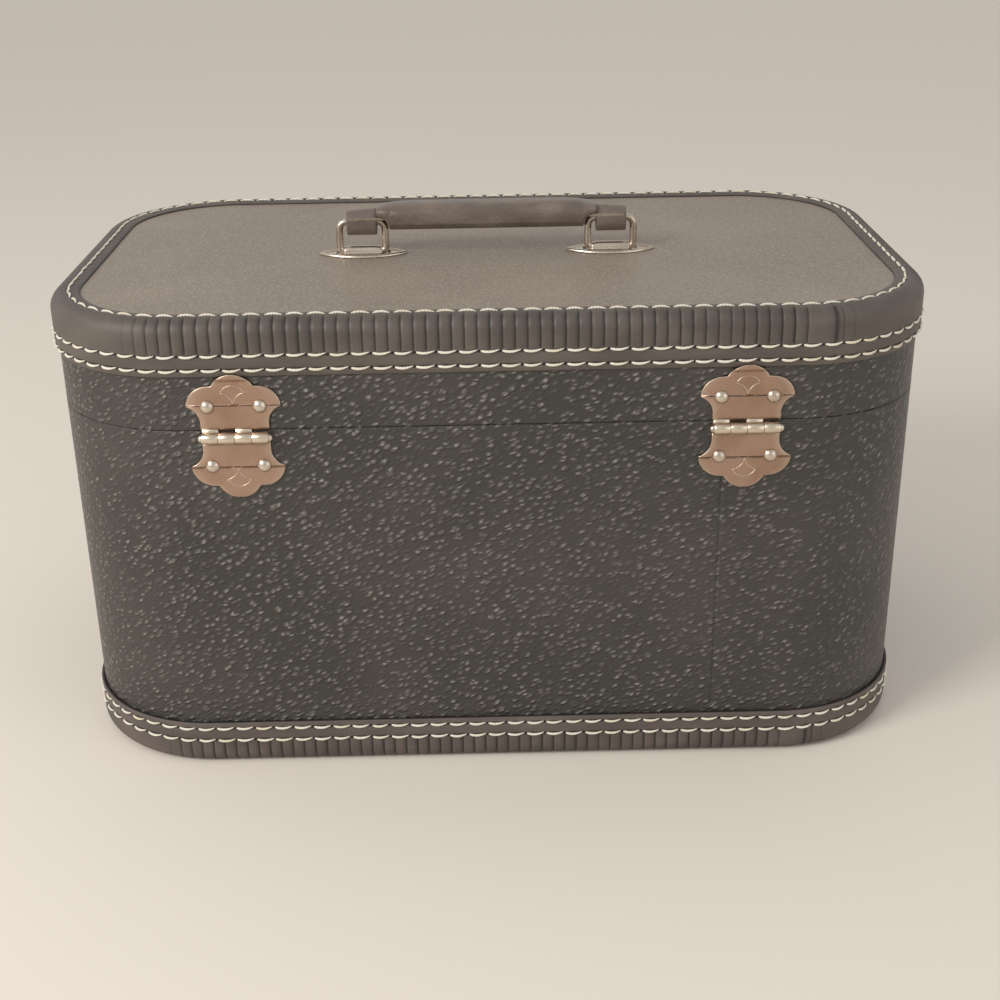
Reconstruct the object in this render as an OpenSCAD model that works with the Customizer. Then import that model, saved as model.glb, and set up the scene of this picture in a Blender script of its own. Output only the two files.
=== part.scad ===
// Hard carrying case with rounded upright corners, a hinged lid, stitched
// bindings, two latches in front and a carrying handle on the lid.
// Front (latches) faces -Y and the hinges +Y. Left and right are as seen from
// the front, so right is +X. Z is up, and the case stands on Z = 0.

/* [Case] */
// Width over the bindings, along X
case_w = 370; // [340:1:420]
// Depth over the bindings, along Y
case_d = 222; // [200:1:260]
// Height from the floor to the top binding
case_h = 204; // [180:1:240]
// Radius of the upright corners, outside
corner_r = 60; // [40:1:80]
// Height of the lid, from the parting line to its top
lid_h = 46.2; // [42:0.2:60]

/* [Walls] */
// Thickness of the fibreboard
board_t = 4.5; // [3.5:0.1:5]
// Thickness of the leathercloth cover
cover_t = 0.8; // [0.5:0.1:1]
// Thickness of the lining
lining_t = 1; // [0.6:0.1:1.2]
// Thickness of the collar that the lid closes over
collar_t = 2; // [1.5:0.1:3]
// How far the collar rises above the parting line
collar_up = 10; // [6:0.5:12]
// How far the collar reaches down inside the base
collar_down = 28; // [20:1:40]
// Width of the seam in the cover behind the case
seam_w = 0.3; // [0.2:0.1:0.6]
// Distance of that seam from the middle, to the left
seam_x = 94; // [80:1:110]

/* [Binding] */
// Thickness of the binding
binding_t = 1.6; // [1.2:0.1:2]
// Radius of the rounded edge under the binding's ribs
edge_r = 6.5; // [6:0.1:6.8]
// Width of the binding on the top and on the underside
flange_w = 12.6; // [12:0.1:16]
// Height of the lid's binding on the wall
lid_band_h = 23.5; // [22:0.1:24.5]
// Height of the base's binding on the wall
base_band_h = 21; // [20:0.2:26]
// How much thinner the lid's binding is at its inner and lower edges
edge_thin = 0.8; // [0.4:0.1:0.9]
// Distance of the outer stitch row on the lid's wall from the binding's edge
lid_row = 3.1; // [3:0.1:4.5]
// Distance of the outer stitch row on the base's wall from the binding's edge
base_row = 2.8; // [2.6:0.1:4.5]
// Distance between the two rows on the wall
row_gap = 5.9; // [5:0.1:6.5]
// Distance of the stitch row on the top and the underside from the edge
flange_row = 4.6; // [3:0.1:5]
// Thickness of the sewing thread
thread_d = 1; // [0.6:0.1:1.2]

/* [Hinges] */
// Distance of each hinge from the middle
hinge_x = 103; // [90:1:115]
// Distance of the pin below the parting line
hinge_drop = 2.6; // [2:0.1:3.2]
// Thickness of the leaves
leaf_t = 0.8; // [0.6:0.1:1]
// Length of a leaf from the pin to its end lobe
leaf_l = 26.7; // [26:0.1:28]
// Outside radius of the knuckles
knuckle_r = 2.3; // [2.1:0.1:2.6]
// Radius of the hinge pin
pin_r = 1.45; // [1.3:0.05:1.5]
// Width over the four knuckles
knuckle_w = 27; // [24:0.5:27]
// Distance of the rivets from the hinge's middle
rivet_x = 10.5; // [9.5:0.1:11]
// Distance of the rivets from the pin
rivet_z = 12.8; // [12:0.1:13.4]
// Radius of a rivet's domed head
rivet_r = 2.9; // [2.4:0.1:3]
// Height of that head
rivet_h = 1.7; // [1.2:0.1:1.8]
// Radius of a rivet's shank
shank_r = 1.3; // [1:0.1:1.5]

/* [Handle] */
// Distance of each bail from the middle
bail_x = 56; // [50:0.5:64]
// Distance of the handle behind the middle of the lid
handle_y = 6; // [-10:0.5:10]
// Radius of the bail's wire
wire_r = 1.6; // [1.4:0.05:1.7]
// Distance between the middles of a bail's legs
bail_w = 20.6; // [20.4:0.2:24]
// Height between the middles of a bail's two bars
bail_h = 13.2; // [13:0.2:18]
// Radius of the bail's bends at the middle of the wire
bail_bend = 3.4; // [3:0.1:3.5]
// Length of a plate
plate_l = 41; // [40:0.5:48]
// Width of a plate
plate_w = 17.5; // [16:0.5:20]
// Thickness of a plate's sheet
plate_t = 0.7; // [0.5:0.1:0.8]
// Width of the loops at the handle's ends
tab_w = 13.4; // [10:0.2:13.6]
// Depth of a loop from front to back
tab_d = 9; // [8:0.2:9.4]
// How far a loop reaches above its bar
tab_up = 5.4; // [5:0.1:6]
// How far a loop reaches below its bar
tab_down = 6; // [5:0.1:6.2]
// Width of the grip from front to back
grip_w = 17; // [14:0.5:17]
// Height of the grip's top above the bars, in the middle
grip_up = 8.8; // [8:0.1:12]
// How far the grip's underside hangs below the bars
grip_down = 3.4; // [2.4:0.1:4]

/* [Latches] */
// Distance of each latch from the middle
latch_x = 95; // [75:1:110]
// Width of the lock plate
lock_w = 36; // [35:0.5:40]
// Height of the lock plate
lock_h = 32; // [29:0.5:36]
// Thickness of the latch's sheet metal
lock_t = 0.8; // [0.6:0.1:1]
// Width of the lock's housing
housing_w = 24; // [23:0.5:25]
// Height of the housing
housing_h = 19; // [18.4:0.2:20]
// Depth of the housing
housing_d = 6; // [5.8:0.1:7]
// Width of the tongue on the lid
tongue_w = 9; // [8.6:0.1:9.4]
// Thickness of the tongue
tongue_t = 1.6; // [1.2:0.1:1.8]
// Travel of the bolt from released to locked
bolt_travel = 4; // [3.6:0.1:4.4]
// Width of the thumb piece
thumb_w = 8; // [7:0.5:10]
// Height of the thumb piece
thumb_h = 9; // [7:0.5:12]
// Thickness of the thumb piece
thumb_t = 2.2; // [1.6:0.1:3]

/* [Hidden] */

// Colours as photographed
cloth = [0.22, 0.22, 0.21];
trim = [0.34, 0.31, 0.28];
thread = [0.88, 0.84, 0.72];
steel = [0.72, 0.68, 0.64];
bronzed = [0.55, 0.45, 0.40];
board = [0.50, 0.40, 0.28];
lining = [0.55, 0.48, 0.38];
grip_vinyl = [0.42, 0.38, 0.35];

// Running clearance of pins, bars and rivets in their bores
fit = 0.05;
// Side clearance of parts that slide or pass by each other
gap = 0.3;
// Segments of a quarter of a rounded edge
edge_steps = 6;
$fn = 48;

// Layers, measured inwards from the outside of the bindings
wall_in = binding_t + cover_t;
lining_in = wall_in + board_t;
collar_in = lining_in + lining_t;
// Height of the thinned lip at the binding's lower edge
lip_h = 2.4;
// Gap between the lid's lining and the collar's top
lining_gap = 2;
// The covers end under the binding's flange
cover_turn = flange_w - 2;

part_z = case_h - lid_h;
base_h = part_z;
top_z = case_h - binding_t;
face_y = case_d / 2 - binding_t;

hinge_y = face_y + knuckle_r + fit * 2;
hinge_z = part_z - hinge_drop;
knuckles = 4;
knuckle_l = knuckle_w / knuckles;

// Outline of a leaf: neck, hollow flank, rounded ear and end lobe
neck_half = knuckle_w / 2 + 0.3;
flank_r = 7.3;
flank_z = 5.8;
flank_a = 107;
ear_x = 10;
ear_z = 12.4;
ear_r = 9.1;
ear_a = 4;
lobe_r = 9.4;
lobe_a = 27;

// Depths in a latch, measured outwards from the lock plate's face
tongue_in = 1.6;
slide_front = housing_d - lock_t - fit * 3;
slide_back = tongue_in + tongue_t + gap;
thumb_in = housing_d + fit * 3;
// Heights in a latch, measured from the parting line
plate_gap = 0.8;
tongue_down = 12;
bolt_z = -8.5;
bolt_h = 3.2;
stem_half = 1.5;
slide_half = 7.5;
thumb_rest = -bolt_travel / 2;
window_half = bolt_travel / 2 + stem_half + gap;

// Plates and rivets of a latch
strike_w = 30;
strike_h = 16;
strike_rivet_x = 10.8;
strike_rivet_z = 12;
lock_margin = 4;
lock_rivet_x = (lock_w + housing_w) / 4;
latch_rivet_r = 2.1;
latch_rivet_h = 1.3;

// The case is shifted so that its box is centred on the origin
front_reach = face_y + lock_t + thumb_in + thumb_t;
back_reach = hinge_y + knuckle_r;
plan_y = (front_reach - back_reach) / 2;

// Handle heights
bar_z = top_z + wire_r + fit;
upper_bar_z = bar_z + bail_h;
slot_half = 3.3;
barrel_r = wire_r + fit + plate_t;
barrel_half = bail_w / 2 - wire_r;
barrel_open = wire_r * 0.7;
prong_x = bail_w / 2 + 4.8;
prong_w = 5;
prong_t = 0.8;
backing_l = plate_l + 3;
backing_w = plate_w - 1.5;
backing_t = 0.8;
// Depth of the pocket under the panel for the backing plate and the prongs
pocket_d = backing_t + prong_t + fit;
panel_under = -(lining_in - binding_t);
core_t = 1.2;
core_w = 9;
core_r = 2.6;
tab_in = bail_x - tab_w / 2;
// How much thicker the grip's ends are than the loops, and how late they taper
grip_end = 1.2;
taper_power = 9;
// Arc over the bail's bend that the grip's underside follows
bend_x = bail_x - bail_w / 2 + bail_bend;
bend_r = bail_bend + wire_r + 2 * gap;

// Points of a quarter bend from a side face at x to an end face at z
function bend(x, z, r) = [
    for (i = [0 : edge_steps])
        let (a = 90 * i / edge_steps) [x + r - r * cos(a), z + r - r * sin(a)]
];

function reversed(list) = [for (i = [len(list) - 1 : -1 : 0]) list[i]];

// Outline of a skin that runs down the side and turns over the rounded edge.
// x and z are its outer faces, w the inset where it ends, h its height.
function skin(x, z, t, r, w, h) = concat(
    [[x, h]], bend(x, z, r), [[w, z], [w, z + t]],
    reversed(bend(x + t, z + t, r - t)), [[x + t, h]]
);

function box_profile(x0, x1, z0, z1) = [[x0, z0], [x1, z0], [x1, z1], [x0, z1]];

// A profile of insets and heights carried round the plan of the case
module ring(points) {
    run_x = case_w - 2 * corner_r;
    run_y = case_d - 2 * corner_r;
    for (turn = [0, 180]) {
        rotate(turn) rotate([90, 0, 0]) linear_extrude(run_y, center = true)
            polygon([for (p = points) [case_w / 2 - p[0], p[1]]]);
        rotate(turn + 90) rotate([90, 0, 0]) linear_extrude(run_x, center = true)
            polygon([for (p = points) [case_d / 2 - p[0], p[1]]]);
    }
    for (q = [0 : 3]) {
        sx = q == 0 || q == 3 ? 1 : -1;
        sy = q < 2 ? 1 : -1;
        translate([sx * run_x / 2, sy * run_y / 2, 0]) rotate(90 * q)
            rotate_extrude(angle = 90)
                polygon([for (p = points) [corner_r - p[0], p[1]]]);
    }
}

// The whole plan of the case at one inset, between two heights
module slab(inset, z0, z1) {
    run_x = case_w - 2 * corner_r;
    run_y = case_d - 2 * corner_r;
    r = corner_r - inset;
    h = z1 - z0;
    translate([0, 0, z0]) {
        translate([-run_x / 2, -run_y / 2 - r, 0]) cube([run_x, run_y + 2 * r, h]);
        for (side = [0, 1]) mirror([side, 0, 0])
            translate([run_x / 2, -run_y / 2, 0]) cube([r, run_y, h]);
        for (q = [0 : 3]) {
            sx = q == 0 || q == 3 ? 1 : -1;
            sy = q < 2 ? 1 : -1;
            translate([sx * run_x / 2, sy * run_y / 2, 0]) rotate(90 * q)
                rotate_extrude(angle = 90) square([r, h]);
        }
    }
}

// Puts a piece of the base in place
module in_base() {
    translate([0, plan_y, 0]) children();
}

// Puts a piece of the lid in place, drawn upside down like the base
module in_lid() {
    translate([0, plan_y, case_h]) mirror([0, 0, 1]) children();
}

// Board that closes the base or the lid, with its rounded edge
module panel() {
    r = edge_r - wall_in;
    slab(wall_in + r, wall_in, lining_in);
    ring(concat(bend(wall_in, wall_in, r),
        [[wall_in + r, lining_in], [wall_in, lining_in]]));
}

// Bent board of the four walls
module wall(h) {
    ring(box_profile(wall_in, lining_in, lining_in, h));
}

// Cover of the walls, turned over the rounded edge
module wall_cover(h) {
    ring(skin(binding_t, binding_t, cover_t, edge_r - binding_t, cover_turn, h));
}

module panel_cover() {
    slab(cover_turn, binding_t, wall_in);
}

// The binding, thinned at both edges by thin, with a groove under each row
module binding(band_h, row, thin) {
    difference() {
        ring(concat([[thin, band_h], [0, band_h - lip_h]], bend(0, 0, edge_r),
            [[flange_w, thin], [flange_w, binding_t]],
            reversed(bend(binding_t, binding_t, edge_r - binding_t)),
            [[binding_t, band_h]]));
        stitch_rows(band_h, row);
    }
}

// Three rows of thread that lie half sunk in the binding
module stitch_rows(band_h, row) {
    t = thread_d / 2;
    w = thread_d;
    for (z = [band_h - row, band_h - row - row_gap])
        ring(box_profile(0, t, z - w / 2, z + w / 2));
    x = flange_w - flange_row;
    ring(box_profile(x - w / 2, x + w / 2, 0, t));
}

// Lining of the walls and of the panel, glued to the boards
module lining_tray(h) {
    ring(box_profile(lining_in, collar_in, lining_in, h));
    slab(collar_in, lining_in, collar_in);
}

// Places children at both rivets of each hinge, on the lid or on the base
module at_hinge_rivets(up) {
    for (side = [-1, 1], x = [-rivet_x, rivet_x])
        translate([side * hinge_x + x, plan_y + face_y, hinge_z + up * rivet_z])
            rotate([-90, 0, 0]) children();
}

// Places children at the rivets of both latches, on the lid or on the base
module at_latch_rivets(on_lid) {
    spots = on_lid
        ? [for (x = [-1, 1]) [x * strike_rivet_x, strike_rivet_z]]
        : [for (x = [-1, 1], z = [0, 1])
            [x * lock_rivet_x, -plate_gap - lock_margin - z * (lock_h - 2 * lock_margin)]];
    for (side = [-1, 1], p = spots)
        translate([side * latch_x + p[0], plan_y - face_y, part_z + p[1]])
            rotate([90, 0, 0]) children();
}

// Hole for a rivet's shank through the cover and the board
module shank_hole() {
    translate([0, 0, -lining_in]) cylinder(r = shank_r, h = lining_in + 1);
}

// Rivet with a domed head, on sheet of thickness t over cover and board
module rivet(t, r, h) {
    ball = (r * r + h * h) / (2 * h);
    depth = cover_t + board_t;
    translate([0, 0, -depth]) cylinder(r = shank_r, h = depth + t);
    translate([0, 0, t]) rotate_extrude() intersection() {
        translate([0, h - ball]) circle(r = ball, $fn = 96);
        square([r, h]);
    }
}

module base_wall() {
    color(board) difference() {
        in_base() wall(base_h);
        at_hinge_rivets(-1) shank_hole();
        at_latch_rivets(false) shank_hole();
    }
}

module bottom_panel() {
    color(board) in_base() panel();
}

module base_cover() {
    color(cloth) difference() {
        in_base() wall_cover(base_h);
        at_hinge_rivets(-1) shank_hole();
        at_latch_rivets(false) shank_hole();
        translate([-seam_x - seam_w / 2, plan_y + face_y - cover_t - 1, edge_r])
            cube([seam_w, cover_t + 2, base_h]);
    }
}

module bottom_cover() {
    color(cloth) in_base() panel_cover();
}

module base_binding() {
    color(trim) in_base() binding(base_band_h, base_row, 0);
}

module base_stitching() {
    color(thread) in_base() stitch_rows(base_band_h, base_row);
}

module base_lining() {
    color(lining) in_base() lining_tray(base_h);
}

module collar() {
    color(lining) in_base()
        ring(box_profile(collar_in, collar_in + collar_t,
            part_z - collar_down, part_z + collar_up));
}

module lid_wall() {
    color(board) difference() {
        in_lid() wall(lid_h);
        at_hinge_rivets(1) shank_hole();
        at_latch_rivets(true) shank_hole();
    }
}

// Underside pockets take the backing plates, and slots the prongs
module top_panel() {
    color(board) difference() {
        in_lid() panel();
        at_plates() plate_cuts();
    }
}

module lid_cover() {
    color(cloth) difference() {
        in_lid() wall_cover(lid_h);
        at_hinge_rivets(1) shank_hole();
        at_latch_rivets(true) shank_hole();
    }
}

module top_cover() {
    color(cloth) difference() {
        in_lid() panel_cover();
        at_plates() plate_cuts();
    }
}

module lid_binding() {
    color(trim) in_lid() binding(lid_band_h, lid_row, edge_thin);
}

module lid_stitching() {
    color(thread) in_lid() stitch_rows(lid_band_h, lid_row);
}

// The lining of the lid's walls ends above the collar
module lid_lining() {
    color(lining) in_lid() lining_tray(lid_h - collar_up - lining_gap);
}

// Half of a leaf's outline, from the knuckles out to the lobe at its end
function leaf_half() = concat(
    [[0, 0], [neck_half, 0]],
    [for (i = [0 : 8]) let (a = 180 - i * (180 - flank_a) / 8)
        [neck_half + flank_r + flank_r * cos(a), flank_z + flank_r * sin(a)]],
    [for (i = [1 : 10]) let (a = ear_a + i * (90 - ear_a) / 10)
        [ear_x + ear_r * cos(a), ear_z + ear_r * sin(a)]],
    [for (i = [0 : 8]) let (a = lobe_a + i * (90 - lobe_a) / 8)
        [lobe_r * cos(a), leaf_l - lobe_r + lobe_r * sin(a)]]
);

// One leaf seen from behind: outline, knuckles and the pressed-out tip.
// own is the set of knuckles that belong to this leaf.
module leaf(own, over_binding) {
    half = leaf_half();
    outline = concat(half, [for (p = reversed(half)) [-p[0], p[1]]]);
    lip_z = hinge_drop + lid_h - lid_band_h;
    over = min(lip_h, max(0, leaf_l - lip_z));
    lift = binding_t - edge_thin * (1 - over / lip_h) + fit;
    tip_z = lip_z - gap;
    step = 1;
    difference() {
        union() {
            // The sheet, flat on the cover
            intersection() {
                sheet(outline, 0, leaf_t);
                translate([-leaf_l, 0, 0])
                    cube([2 * leaf_l, 2 * leaf_t, over_binding ? tip_z : leaf_l + 1]);
            }
            if (over_binding) {
                intersection() {
                    sheet(outline, 0, lift + leaf_t);
                    translate([-leaf_l, 0, tip_z - step])
                        cube([2 * leaf_l, 2 * (lift + leaf_t), step]);
                }
                intersection() {
                    sheet(outline, lift, lift + leaf_t);
                    translate([-leaf_l, 0, tip_z - step])
                        cube([2 * leaf_l, 2 * (lift + leaf_t), leaf_l]);
                }
            }
            for (k = own)
                translate([-knuckle_w / 2 + k * knuckle_l + fit, hinge_y - face_y, 0])
                    rotate([0, 90, 0]) cylinder(r = knuckle_r, h = knuckle_l - 2 * fit);
        }
        // Room for the other leaf's knuckles
        for (k = [0 : knuckles - 1])
            if (len(search(k, own)) == 0)
                translate([-knuckle_w / 2 + k * knuckle_l - fit, -1, -1])
                    cube([knuckle_l + 2 * fit, knuckle_r * 2 + 2, knuckle_r + gap + 1]);
        // Edges of the neck beyond the knuckles
        for (side = [0, 1]) mirror([side, 0, 0])
            translate([knuckle_w / 2 - fit, -1, -1])
                cube([neck_half, knuckle_r * 2 + 2, knuckle_r + gap + 1]);
        translate([0, hinge_y - face_y, 0]) rotate([0, 90, 0])
            cylinder(r = pin_r + fit, h = knuckle_w + 2, center = true);
        for (x = [-rivet_x, rivet_x])
            translate([x, -1, rivet_z]) rotate([-90, 0, 0])
                cylinder(r = shank_r, h = leaf_t + 2);
    }
}

// The leaf's outline as sheet between two distances from the cover
module sheet(outline, y0, y1) {
    translate([0, y1, 0]) rotate([90, 0, 0]) linear_extrude(y1 - y0) polygon(outline);
}

module hinge_upper_leaf(side) {
    color(bronzed) translate([side * hinge_x, plan_y + face_y, hinge_z]) leaf([1, 3], true);
}

module hinge_lower_leaf(side) {
    color(bronzed) translate([side * hinge_x, plan_y + face_y, hinge_z])
        rotate([0, 180, 0]) leaf([1, 3], false);
}

// Pin with a small domed head at each end
module hinge_pin(side) {
    color(steel) translate([side * hinge_x, plan_y + hinge_y, hinge_z]) rotate([0, 90, 0]) {
        cylinder(r = pin_r, h = knuckle_w, center = true);
        for (end = [0, 1]) mirror([0, 0, end]) translate([0, 0, knuckle_w / 2])
            rotate_extrude() intersection() {
                circle(r = pin_r + gap);
                square(pin_r + gap);
            }
    }
}

module hinge_rivets_lid() {
    color(steel) at_hinge_rivets(1) rivet(leaf_t, rivet_r, rivet_h);
}

module hinge_rivets_base() {
    color(steel) at_hinge_rivets(-1) rivet(leaf_t, rivet_r, rivet_h);
}

// Places children at both handle plates, on the cover of the lid's top
module at_plates(sides = [-1, 1]) {
    for (side = sides)
        translate([side * bail_x, plan_y + handle_y, top_z]) children();
}

module plate_cuts() {
    for (side = [-1, 1])
        translate([side * prong_x - prong_t / 2, -prong_w / 2, panel_under - 1])
            cube([prong_t, prong_w, -panel_under + 2]);
    translate([-backing_l / 2, -backing_w / 2, panel_under - 1])
        cube([backing_l, backing_w, pocket_d + 1]);
}

// Pointed oval between two arcs, with rounded tips
module plate_outline(l, w) {
    r = (l * l + w * w) / (4 * w);
    intersection() {
        translate([0, r - w / 2]) circle(r = r, $fn = 96);
        translate([0, w / 2 - r]) circle(r = r, $fn = 96);
        square([l - 1.2, w], center = true);
    }
}

// Stamped oval plate with a raised barrel for the bail's lower bar
module handle_plate(side) {
    rim = 1.4;
    rim_h = 0.6;
    color(steel) at_plates([side]) {
        difference() {
            union() {
                linear_extrude(plate_t) plate_outline(plate_l, plate_w);
                linear_extrude(plate_t + rim_h) difference() {
                    plate_outline(plate_l, plate_w);
                    plate_outline(plate_l - 2 * rim, plate_w - 2 * rim);
                }
                intersection() {
                    translate([0, 0, bar_z - top_z]) rotate([0, 90, 0])
                        cylinder(r = barrel_r, h = 2 * barrel_half, center = true);
                    translate([-barrel_half, -barrel_r, 0])
                        cube([2 * barrel_half, 2 * barrel_r, 2 * barrel_r]);
                }
            }
            // Bore for the bar and a slot for each leg
            translate([0, 0, bar_z - top_z]) rotate([0, 90, 0])
                cylinder(r = wire_r + fit, h = bail_w + 2 * wire_r + 2 * gap, center = true);
            for (leg = [-1, 1])
                translate([leg * bail_w / 2 - wire_r - gap, -slot_half, -1])
                    cube([2 * (wire_r + gap), 2 * slot_half, 3 * barrel_r]);
            // The sheet is open under the barrel
            translate([-bail_w / 2, -barrel_open, -1]) cube([bail_w, 2 * barrel_open, 2]);
        }
        for (end = [-1, 1]) {
            translate([end * prong_x - prong_t / 2, -prong_w / 2, panel_under + prong_t])
                cube([prong_t, prong_w, -panel_under - prong_t + plate_t / 2]);
            translate([end * (prong_x + 1) - 1 - prong_t / 2, -prong_w / 2, panel_under])
                cube([2 + prong_t, prong_w, prong_t]);
        }
    }
}

// Steel plates under the lid's top that the prongs are bent over
module handle_backing_plates() {
    color(steel) at_plates() difference() {
        translate([-backing_l / 2, -backing_w / 2, panel_under + prong_t])
            cube([backing_l, backing_w, backing_t]);
        for (side = [-1, 1])
            translate([side * prong_x - prong_t / 2, -prong_w / 2, panel_under])
                cube([prong_t, prong_w, 4]);
    }
}

// Closed wire loop: lower bar in the plate, two legs, bends and the upper bar
module bail(side) {
    half = bail_w / 2;
    color(steel) translate([side * bail_x, plan_y + handle_y, bar_z]) {
        rotate([0, 90, 0]) cylinder(r = wire_r, h = bail_w, center = true);
        translate([0, 0, bail_h]) rotate([0, 90, 0])
            cylinder(r = wire_r, h = bail_w - 2 * bail_bend, center = true);
        for (leg = [0, 1]) mirror([leg, 0, 0]) {
            translate([half, 0, 0]) sphere(r = wire_r);
            translate([half, 0, 0]) cylinder(r = wire_r, h = bail_h - bail_bend);
            translate([half - bail_bend, 0, bail_h - bail_bend]) rotate([90, 0, 0])
                rotate_extrude(angle = 90) translate([bail_bend, 0]) circle(r = wire_r);
        }
    }
}

// Places children at the middle of the handle, on the bars' axis
module at_handle() {
    translate([0, plan_y + handle_y, upper_bar_z]) children();
}

// Steel strip whose ends are rolled round the bars
module core_solid(bore) {
    strip_z = core_r - core_t;
    difference() {
        union() {
            for (side = [-1, 1]) translate([side * bail_x, 0, 0]) rotate([0, 90, 0])
                cylinder(r = core_r, h = tab_w - 2, center = true);
            translate([-bail_x - tab_w / 2 + 1, -core_w / 2, strip_z])
                cube([2 * bail_x + tab_w - 2, core_w, core_t]);
        }
        if (bore) rotate([0, 90, 0])
            cylinder(r = wire_r + fit, h = 2 * bail_x + tab_w, center = true);
    }
}

module handle_core() {
    color(steel) at_handle() core_solid(true);
}

// Vinyl loops round the rolled ends of the strip
module handle_tabs() {
    r = tab_d / 2;
    color(grip_vinyl) at_handle() difference() {
        for (side = [-1, 1]) translate([side * bail_x, 0, 0]) rotate([90, 0, 90])
            linear_extrude(tab_w, center = true) {
                translate([0, tab_up - r]) circle(r = r);
                translate([0, r - tab_down]) circle(r = r);
                translate([-r, r - tab_down]) square([tab_d, tab_up + tab_down - tab_d]);
            }
        core_solid(false);
        rotate([0, 90, 0])
            cylinder(r = wire_r + fit, h = 2 * bail_x + tab_w + 2, center = true);
    }
}

// Grip shape: half width, top and underside at a distance x from the middle
function taper(x) = pow(x / tab_in, taper_power);
function grip_half(x) = grip_w / 2 - ((grip_w - tab_d) / 2 - grip_end) * taper(x);
function grip_top(x) = grip_up - (grip_up - tab_up - grip_end) * taper(x);
function grip_under(x) = max(-grip_down,
    sqrt(max(0, bend_r * bend_r - (bend_x - x) * (bend_x - x))) - bail_bend);

function grip_ring(x, n) =
    let (half = grip_half(abs(x)), up = grip_top(abs(x)), low = grip_under(abs(x)),
        mid = (up + low) / 2, tall = (up - low) / 2)
    [for (i = [0 : n - 1])
        let (a = 360 * i / n, c = cos(a), s = sin(a),
            k = pow(pow(abs(c), 2.6) + pow(abs(s), 2.6), -1 / 2.6))
        [x, half * k * c, mid + tall * k * s]];

// Padded vinyl grip, swept from one loop to the other
module handle_grip() {
    sides = 28;
    stations = 60;
    rings = [for (j = [0 : stations])
        grip_ring(-tab_in * cos(180 * j / stations), sides)];
    points = [for (r = rings, p = r) p];
    skin_faces = [for (j = [0 : stations - 1], i = [0 : sides - 1])
        let (a = j * sides + i, b = j * sides + (i + 1) % sides)
            [a, b, b + sides, a + sides]];
    first = [for (i = [sides - 1 : -1 : 0]) i];
    last = [for (i = [0 : sides - 1]) stations * sides + i];
    color(grip_vinyl) at_handle() difference() {
        polyhedron(points, concat(skin_faces, [first, last]), convexity = 4);
        core_solid(false);
    }
}

// Puts a latch piece in place, with +Z up from the parting line and -Y outwards
// from the lock plate's outer face. The left latch is the right one's mirror image.
module at_latch(side) {
    translate([side * latch_x, plan_y - face_y - lock_t, part_z])
        mirror([side < 0 ? 1 : 0, 0, 0]) children();
}

// A block between two widths, two depths and two heights of a latch
module latch_block(x0, x1, d0, d1, z0, z1) {
    translate([x0, -d1, z0]) cube([x1 - x0, d1 - d0, z1 - z0]);
}

// Rounded sheet of a latch plate between two heights
module latch_sheet(w, z0, z1) {
    r = 3;
    translate([0, lock_t, (z0 + z1) / 2]) rotate([90, 0, 0]) linear_extrude(lock_t) {
        square([w - 2 * r, z1 - z0], center = true);
        square([w, z1 - z0 - 2 * r], center = true);
        for (x = [-1, 1], z = [-1, 1])
            translate([x * (w / 2 - r), z * ((z1 - z0) / 2 - r)]) circle(r = r);
    }
}

// Lock plate on the base with the housing that guides the slide
module latch_housing(side) {
    top = -plate_gap;
    low = top - housing_h;
    half = housing_w / 2;
    color(steel) at_latch(side) difference() {
        union() {
            latch_sheet(lock_w, top - lock_h, top);
            latch_block(-half, half, 0, housing_d, low, top);
        }
        latch_block(-half + lock_t, half - lock_t, 0, housing_d - lock_t,
            low + lock_t, top - lock_t);
        // Slot for the tongue
        latch_block(-tongue_w / 2 - gap - 0.2, tongue_w / 2 + gap + 0.2,
            tongue_in - gap - 0.2, tongue_in + tongue_t + gap + 0.2,
            top - lock_t - 1, top + 1);
        // Window for the thumb piece's stem
        latch_block(-window_half, window_half, housing_d - lock_t - 1, housing_d + 1,
            bolt_z - stem_half - gap, bolt_z + stem_half + gap);
        for (x = [-1, 1], z = [0, 1])
            translate([x * lock_rivet_x, 0, top - lock_margin - z * (lock_h - 2 * lock_margin)])
                rotate([90, 0, 0]) cylinder(r = shank_r, h = 4, center = true);
    }
}

// Slide in its released place: plate, foot, bolt, stem and thumb piece
module latch_slide(side) {
    left = thumb_rest - slide_half;
    right = thumb_rest + slide_half;
    low = -plate_gap - housing_h + lock_t + gap;
    bolt_end = -tongue_w / 2 - gap;
    color(steel) at_latch(side) {
        latch_block(left, right, slide_back, slide_front, low, bolt_z + bolt_h / 2 + 2);
        latch_block(left, right, fit * 3, slide_front, low, -tongue_down - 1.5);
        latch_block(left, bolt_end, tongue_in + 0.1, slide_back + 0.5,
            bolt_z - bolt_h / 2, bolt_z + bolt_h / 2);
        latch_block(thumb_rest - stem_half, thumb_rest + stem_half,
            slide_front - 0.5, thumb_in + 0.5, bolt_z - stem_half, bolt_z + stem_half);
        latch_block(thumb_rest - thumb_w / 2, thumb_rest + thumb_w / 2,
            thumb_in, thumb_in + thumb_t, bolt_z - thumb_h / 2, bolt_z + thumb_h / 2);
    }
}

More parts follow.
